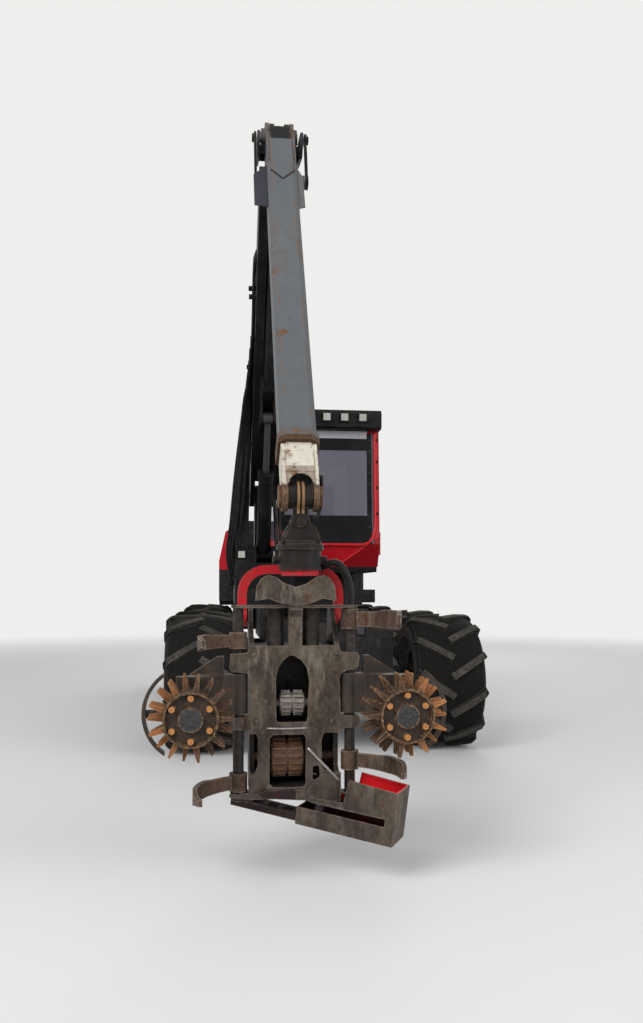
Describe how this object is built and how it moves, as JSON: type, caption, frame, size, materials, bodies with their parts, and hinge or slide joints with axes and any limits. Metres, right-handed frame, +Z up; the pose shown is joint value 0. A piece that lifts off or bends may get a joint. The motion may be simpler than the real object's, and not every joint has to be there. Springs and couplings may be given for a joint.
{
  "type": "forestry harvester",
  "caption": "Eight-wheeled articulated forestry harvester with a turning cab, a folding crane beside it and a hanging felling head.",
  "frame": {"origin": "on the ground, at the middle of the overall box", "axes": "-Y forward, towards the hanging head; +X to the machine's left; +Z up"},
  "size_m": [3.08, 11.1957, 5.2041],
  "materials": {
    "tyre": "dusty rubber",
    "rim": "dusty dark paint",
    "frame_paint": "dark satin paint",
    "engine": "plain cast block",
    "red_paint": "gloss paint",
    "roof": "black satin",
    "glass": "tinted",
    "seat": "dark woven cloth",
    "crane_black": "worn black paint",
    "rod_chrome": "polished",
    "slate": "dark slate paint",
    "boom_grey": "worn grey paint",
    "boom_white": "cream paint with rust",
    "head_steel": "worn brown steel",
    "roller_rust": "orange rust",
    "knife_steel": "rusty steel"
  },
  "bodies": {
    "front_chassis": {"front_frame": "frame_paint", "front_bogie": "frame_paint"},
    "rear_chassis": {"rear_frame": "frame_paint", "rear_bogie": "frame_paint", "engine_block": "engine"},
    "hood_lid": {"hood": "red_paint"},
    "platform": {"deck": "frame_paint", "cab_floor": "frame_paint", "cab_shell": "red_paint", "cab_roof": "roof", "glazing": "glass", "seat": "seat", "crane_base": "crane_black"},
    "cab_door": {"door": "red_paint", "door_glass": "glass"},
    "boom": {"main_boom": "crane_black"},
    "lift_tube": {"lift_barrel": "crane_black"},
    "lift_piston": {"lift_rod": "rod_chrome"},
    "stick_tube": {"stick_barrel": "crane_black"},
    "stick_piston": {"stick_rod": "rod_chrome"},
    "rocker": {"knuckle_rocker": "slate"},
    "link_bars": {"knuckle_link": "crane_black"},
    "stick": {"outer_boom": "boom_grey"},
    "inner_stick": {"extension": "boom_white"},
    "hanger": {"tip_link": "crane_black"},
    "rotator_body": {"rotator": "crane_black"},
    "head_yoke": {"yoke": "red_paint"},
    "head": {"head_frame": "head_steel", "saw_box": "red_paint"},
    "inner_roller_u": {"head_roller_u": "head_steel"},
    "inner_roller_d": {"head_roller_d": "head_steel"},
    "arm_l": {"feed_arm_l": "head_steel"},
    "arm_r": {"feed_arm_r": "head_steel"},
    "roller_l": {"feed_roller_l": "roller_rust"},
    "roller_r": {"feed_roller_r": "roller_rust"},
    "knife_ul": {"upper_knife_l": "knife_steel"},
    "knife_ur": {"upper_knife_r": "knife_steel"},
    "knife_ll": {"lower_knife_l": "knife_steel"},
    "knife_lr": {"lower_knife_r": "knife_steel"},
    "saw": {"saw_bar": "knife_steel"},
    "wheel_1l": {"tyre_1l": "tyre", "rim_1l": "rim"},
    "wheel_1r": {"tyre_1r": "tyre", "rim_1r": "rim"},
    "wheel_2l": {"tyre_2l": "tyre", "rim_2l": "rim"},
    "wheel_2r": {"tyre_2r": "tyre", "rim_2r": "rim"},
    "wheel_3l": {"tyre_3l": "tyre", "rim_3l": "rim"},
    "wheel_3r": {"tyre_3r": "tyre", "rim_3r": "rim"},
    "wheel_4l": {"tyre_4l": "tyre", "rim_4l": "rim"},
    "wheel_4r": {"tyre_4r": "tyre", "rim_4r": "rim"}
  },
  "joints": [
    {"name": "steer", "type": "hinge", "parent": "front_chassis", "child": "rear_chassis", "pos_m": [0, 1.505, 1.05], "axis": [0, 0, 1], "range_deg": [-40, 40]},
    {"name": "slew", "type": "hinge", "parent": "front_chassis", "child": "platform", "pos_m": [0, 0.325, 1.4], "axis": [0, 0, 1], "range_deg": [-110, 110]},
    {"name": "wheel_spin_1l", "type": "hinge", "parent": "front_chassis", "child": "wheel_1l", "pos_m": [1.185, -1.305, 0.67], "axis": [1, 0, 0], "continuous": true},
    {"name": "wheel_spin_1r", "type": "hinge", "parent": "front_chassis", "child": "wheel_1r", "pos_m": [-1.185, -1.305, 0.67], "axis": [1, 0, 0], "continuous": true},
    {"name": "wheel_spin_2l", "type": "hinge", "parent": "front_chassis", "child": "wheel_2l", "pos_m": [1.185, 0.195, 0.67], "axis": [1, 0, 0], "continuous": true},
    {"name": "wheel_spin_2r", "type": "hinge", "parent": "front_chassis", "child": "wheel_2r", "pos_m": [-1.185, 0.195, 0.67], "axis": [1, 0, 0], "continuous": true},
    {"name": "wheel_spin_3l", "type": "hinge", "parent": "rear_chassis", "child": "wheel_3l", "pos_m": [1.185, 2.825, 0.67], "axis": [1, 0, 0], "continuous": true},
    {"name": "wheel_spin_3r", "type": "hinge", "parent": "rear_chassis", "child": "wheel_3r", "pos_m": [-1.185, 2.825, 0.67], "axis": [1, 0, 0], "continuous": true},
    {"name": "wheel_spin_4l", "type": "hinge", "parent": "rear_chassis", "child": "wheel_4l", "pos_m": [1.185, 4.325, 0.67], "axis": [1, 0, 0], "continuous": true},
    {"name": "wheel_spin_4r", "type": "hinge", "parent": "rear_chassis", "child": "wheel_4r", "pos_m": [-1.185, 4.325, 0.67], "axis": [1, 0, 0], "continuous": true},
    {"name": "hood_open", "type": "hinge", "parent": "rear_chassis", "child": "hood_lid", "pos_m": [0, 5.26, 1.42], "axis": [-1, 0, 0], "range_deg": [0, 50]},
    {"name": "door_open", "type": "hinge", "parent": "platform", "child": "cab_door", "pos_m": [0.82, 1.057, 2.6], "axis": [0, 0, 1], "range_deg": [0, 80]},
    {"name": "boom_lift", "type": "hinge", "parent": "platform", "child": "boom", "pos_m": [-0.56, -0.565, 2.6], "axis": [-1, 0, 0], "range_deg": [-38, 32]},
    {"name": "lift_tube_swing", "type": "hinge", "parent": "platform", "child": "lift_tube", "pos_m": [-0.56, -0.72, 1.95], "axis": [-1, 0, 0], "range_deg": [-29, 24.5]},
    {"name": "lift_piston_slide", "type": "slide", "parent": "lift_tube", "child": "lift_piston", "axis": [0, -0.5792, 0.8152], "range_m": [-0.42, 0.35]},
    {"name": "stick_fold", "type": "hinge", "parent": "boom", "child": "stick", "pos_m": [-0.56, -3.185, 5.1], "axis": [1, 0, 0], "range_deg": [-75, 20]},
    {"name": "rocker_swing", "type": "hinge", "parent": "boom", "child": "rocker", "pos_m": [-0.56, -3.02151, 5.03522], "axis": [1, 0, 0], "range_deg": [-31, 9]},
    {"name": "link_swing", "type": "hinge", "parent": "stick", "child": "link_bars", "pos_m": [-0.56, -3.47052, 4.62992], "axis": [1, 0, 0], "range_deg": [-8, 3]},
    {"name": "stick_tube_swing", "type": "hinge", "parent": "boom", "child": "stick_tube", "pos_m": [-0.56, -1.81245, 3.4655], "axis": [1, 0, 0], "range_deg": [-3, 1]},
    {"name": "stick_piston_slide", "type": "slide", "parent": "stick_tube", "child": "stick_piston", "axis": [0, -0.7037, 0.7105], "range_m": [-0.03, 0.11]},
    {"name": "stick_extend", "type": "slide", "parent": "stick", "child": "inner_stick", "axis": [0, -0.5191, -0.8547], "range_m": [0, 1.7]},
    {"name": "hanger_swing", "type": "hinge", "parent": "inner_stick", "child": "hanger", "pos_m": [-0.56, -4.995, 2.12], "axis": [-1, 0, 0], "range_deg": [-90, 40]},
    {"name": "hanger_sway", "type": "hinge", "parent": "hanger", "child": "rotator_body", "pos_m": [-0.56, -4.995, 1.965], "axis": [0, 1, 0], "range_deg": [-30, 30]},
    {"name": "rotator_turn", "type": "hinge", "parent": "rotator_body", "child": "head_yoke", "pos_m": [-0.56, -4.995, 1.7], "axis": [0, 0, 1], "continuous": true},
    {"name": "head_tilt", "type": "hinge", "parent": "head_yoke", "child": "head", "pos_m": [-0.6, -4.81, 1.43], "axis": [1, 0, 0], "range_deg": [0, 100]},
    {"name": "inner_roller_spin_u", "type": "hinge", "parent": "head", "child": "inner_roller_u", "pos_m": [-0.6, -5.025, 0.952], "axis": [1, 0, 0], "continuous": true},
    {"name": "inner_roller_spin_d", "type": "hinge", "parent": "head", "child": "inner_roller_d", "pos_m": [-0.6, -4.982, 0.645], "axis": [1, 0, 0], "continuous": true},
    {"name": "arm_close_l", "type": "hinge", "parent": "head", "child": "arm_l", "pos_m": [-0.288, -5.085, 0.93], "axis": [0, 0, -1], "range_deg": [0, 35]},
    {"name": "roller_spin_l", "type": "hinge", "parent": "arm_l", "child": "roller_l", "pos_m": [-0.04, -5.365, 0.93], "axis": [0, 1, 0], "continuous": true},
    {"name": "knife_close_ul", "type": "hinge", "parent": "head", "child": "knife_ul", "pos_m": [-0.288, -5.085, 1.4], "axis": [0, 0, -1], "range_deg": [-18, 30]},
    {"name": "knife_close_ll", "type": "hinge", "parent": "head", "child": "knife_ll", "pos_m": [-0.288, -5.085, 0.64], "axis": [0, 0, -1], "range_deg": [-18, 30]},
    {"name": "arm_close_r", "type": "hinge", "parent": "head", "child": "arm_r", "pos_m": [-0.912, -5.085, 0.93], "axis": [0, 0, 1], "range_deg": [0, 35]},
    {"name": "roller_spin_r", "type": "hinge", "parent": "arm_r", "child": "roller_r", "pos_m": [-1.16, -5.365, 0.93], "axis": [0, 1, 0], "continuous": true},
    {"name": "knife_close_ur", "type": "hinge", "parent": "head", "child": "knife_ur", "pos_m": [-0.912, -5.085, 1.3], "axis": [0, 0, 1], "range_deg": [-18, 30]},
    {"name": "knife_close_lr", "type": "hinge", "parent": "head", "child": "knife_lr", "pos_m": [-0.912, -5.085, 0.45], "axis": [0, 0, 1], "range_deg": [-18, 30]},
    {"name": "saw_swing", "type": "hinge", "parent": "head", "child": "saw", "pos_m": [-0.45, -5.045, 0.395], "axis": [-0.1152, 0.0613, -0.9914], "range_deg": [0, 115]}
  ],
  "couplings": [
    {"joint": "lift_tube_swing", "follows": "boom_lift", "ratio": 0.74},
    {"joint": "lift_piston_slide", "follows": "boom_lift", "m_per_rad": 0.62},
    {"joint": "rocker_swing", "follows": "stick_fold", "ratio": 0.405},
    {"joint": "link_swing", "follows": "stick_fold", "ratio": 0.1},
    {"joint": "stick_tube_swing", "follows": "stick_fold", "ratio": 0.035},
    {"joint": "stick_piston_slide", "follows": "stick_fold", "m_per_rad": -0.08}
  ]
}
